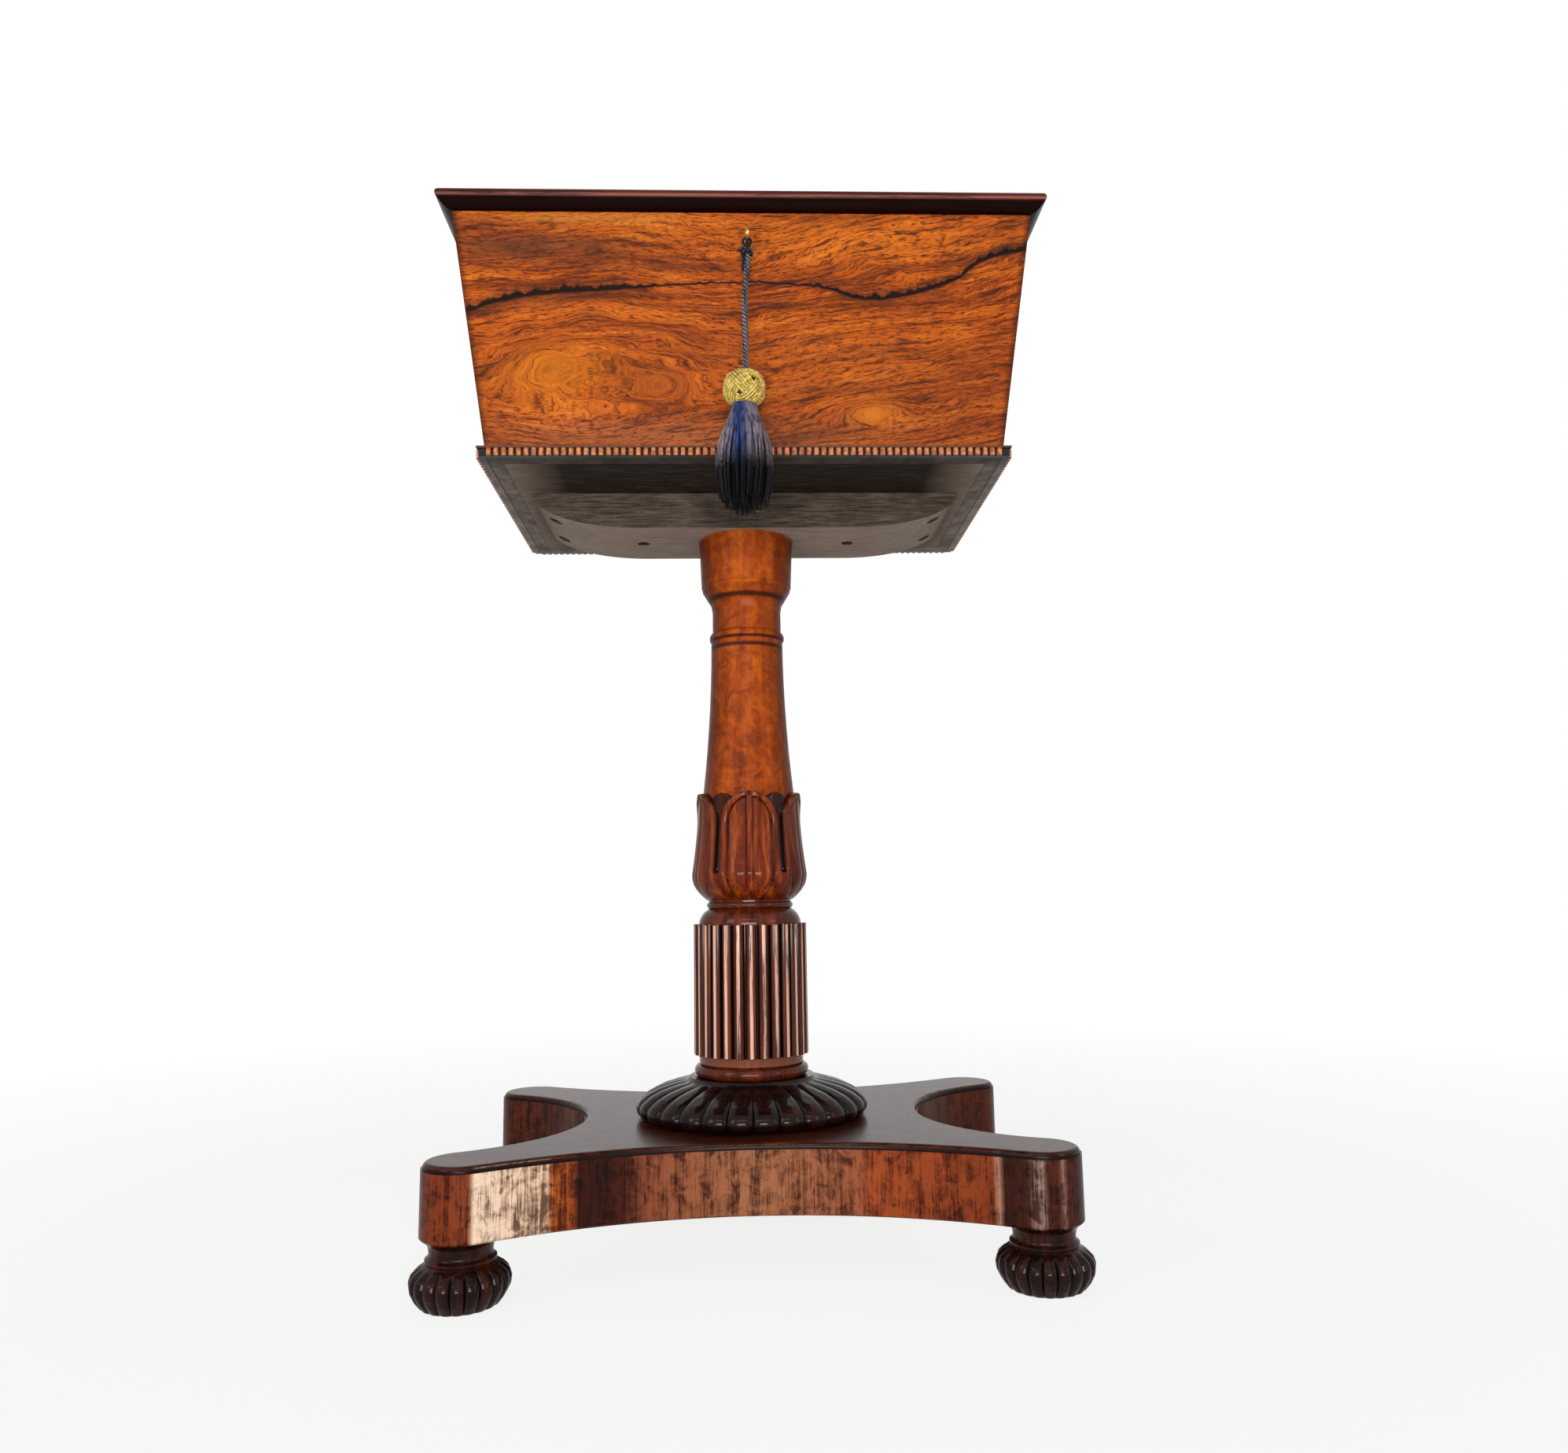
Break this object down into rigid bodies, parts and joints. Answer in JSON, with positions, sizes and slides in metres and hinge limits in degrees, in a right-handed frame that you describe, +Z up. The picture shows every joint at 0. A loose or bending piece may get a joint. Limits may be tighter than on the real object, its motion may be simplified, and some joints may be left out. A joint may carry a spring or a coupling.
{
  "type": "teapoy",
  "caption": "sarcophagus-shaped tea chest with hinged lid, lock and tasselled key on a turned, reeded and lotus-carved column over a four-lobed platform and bun feet",
  "frame": {"origin": "on the floor, in the middle of the four feet, on the column's axis", "axes": "+Z up along the column, -Y out of the front with the keyhole, +X to the right seen from the front"},
  "size_m": [0.4502, 0.3412, 0.776],
  "materials": {
    "figured_rosewood": "french-polished rosewood veneer with marbled dark figure, high gloss",
    "plain_rosewood": "french-polished straight-grained rosewood, high gloss",
    "dark_rosewood": "french-polished near-black rosewood, high gloss",
    "top_veneer": "french-polished rosewood veneer, high gloss",
    "bead_wood": "polished turned beads, satin gloss",
    "base_board": "dark stained softwood, matt",
    "lining_wood": "thin polished mahogany, satin",
    "caddy_wood": "polished rosewood boxes, satin gloss",
    "bowl_glass": "clear moulded glass",
    "brass": "aged lacquered brass",
    "steel": "dull steel",
    "navy_cord": "twisted silk cord",
    "gold_thread": "woven gold-coloured braid over a turned core",
    "navy_thread": "hanging bundle of twisted silk threads"
  },
  "bodies": {
    "root": {"case_front": "figured_rosewood", "case_left": "figured_rosewood", "case_right": "figured_rosewood", "platform": "figured_rosewood", "case_back": "plain_rosewood", "column_shaft": "plain_rosewood", "reeded_drum": "plain_rosewood", "bead_strip_front": "bead_wood", "bead_strip_back": "bead_wood", "bead_strip_left": "bead_wood", "bead_strip_right": "bead_wood", "bottom_board": "base_board", "inner_deck": "lining_wood", "divider_left": "lining_wood", "divider_right": "lining_wood", "caddy_fl": "caddy_wood", "caddy_fr": "caddy_wood", "caddy_bl": "caddy_wood", "caddy_br": "caddy_wood", "caddy_lid_fl": "caddy_wood", "caddy_lid_fr": "caddy_wood", "caddy_lid_bl": "caddy_wood", "caddy_lid_br": "caddy_wood", "mixing_bowl_front": "bowl_glass", "mixing_bowl_back": "bowl_glass", "bearer": "dark_rosewood", "lotus_cup": "dark_rosewood", "gadrooned_disc": "dark_rosewood", "foot_fl": "dark_rosewood", "foot_fr": "dark_rosewood", "foot_bl": "dark_rosewood", "foot_br": "dark_rosewood", "hinge_case_leaf_left": "brass", "hinge_case_leaf_right": "brass", "hinge_pin_left": "steel", "hinge_pin_right": "steel", "lock_body": "brass", "escutcheon": "brass", "bearer_screw_1": "steel", "bearer_screw_2": "steel", "bearer_screw_3": "steel", "bearer_screw_4": "steel", "bearer_screw_5": "steel", "bearer_screw_6": "steel"},
    "lid": {"lid_board": "dark_rosewood", "lid_panel": "top_veneer", "lid_moulding_front": "dark_rosewood", "lid_moulding_left": "dark_rosewood", "lid_moulding_right": "dark_rosewood", "hinge_lid_leaf_left": "brass", "hinge_lid_leaf_right": "brass", "lock_link_plate": "brass"},
    "key": {"key": "brass"},
    "bolt": {"lock_bolt": "steel"},
    "loop": {"cord_loop": "navy_cord"},
    "tassel": {"cord_hitch": "navy_cord", "cord": "navy_cord", "tassel_head": "gold_thread", "tassel_skirt": "navy_thread"}
  },
  "joints": [
    {"name": "lid_hinge", "type": "hinge", "parent": "root", "child": "lid", "pos_m": [0, 0.1446, 0.76065], "axis": [-1, 0, 0], "range_deg": [0, 98]},
    {"name": "key_turn", "type": "hinge", "parent": "root", "child": "key", "pos_m": [0.002, -0.1386, 0.737], "axis": [0, -1, 0], "range_deg": [0, 90]},
    {"name": "bolt_slide", "type": "slide", "parent": "root", "child": "bolt", "axis": [1, 0, 0], "range_m": [0, 0.0048]},
    {"name": "loop_turn", "type": "hinge", "parent": "key", "child": "loop", "pos_m": [0.002, -0.15161, 0.7317], "axis": [0, -1, 0], "range_deg": [-90, 0]},
    {"name": "tassel_swing", "type": "hinge", "parent": "loop", "child": "tassel", "pos_m": [0.002, -0.15161, 0.7288], "axis": [-1, 0, 0], "range_deg": [-3, 45]}
  ],
  "couplings": [
    {"joint": "bolt_slide", "follows": "key_turn", "m_per_rad": 0.0030558},
    {"joint": "loop_turn", "follows": "key_turn", "ratio": -1}
  ]
}
